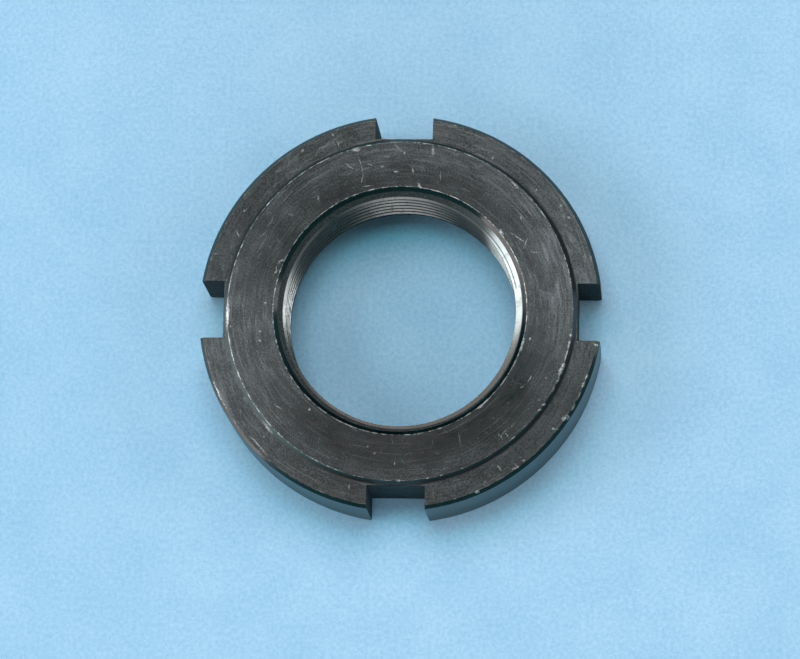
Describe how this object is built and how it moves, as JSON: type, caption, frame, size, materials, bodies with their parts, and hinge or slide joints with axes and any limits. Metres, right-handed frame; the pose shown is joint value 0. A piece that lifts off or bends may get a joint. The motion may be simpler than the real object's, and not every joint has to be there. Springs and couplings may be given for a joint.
{
  "type": "slotted round nut",
  "caption": "Round steel nut with a raised clamping face, square spanner slots round its rim and a fine threaded bore countersunk at both ends.",
  "frame": {"origin": "middle of the plain face, on the thread's axis", "axes": "+Z along the thread's axis, from the plain face to the raised clamping face; +X and +Y through the middles of two neighbouring slots"},
  "size_m": [0.0494, 0.0494, 0.01],
  "materials": {
    "blackened_steel": "blackened, turned, worn bright on its edges"
  },
  "bodies": {
    "root": {"slotted_nut": "blackened_steel"}
  },
  "joints": []
}
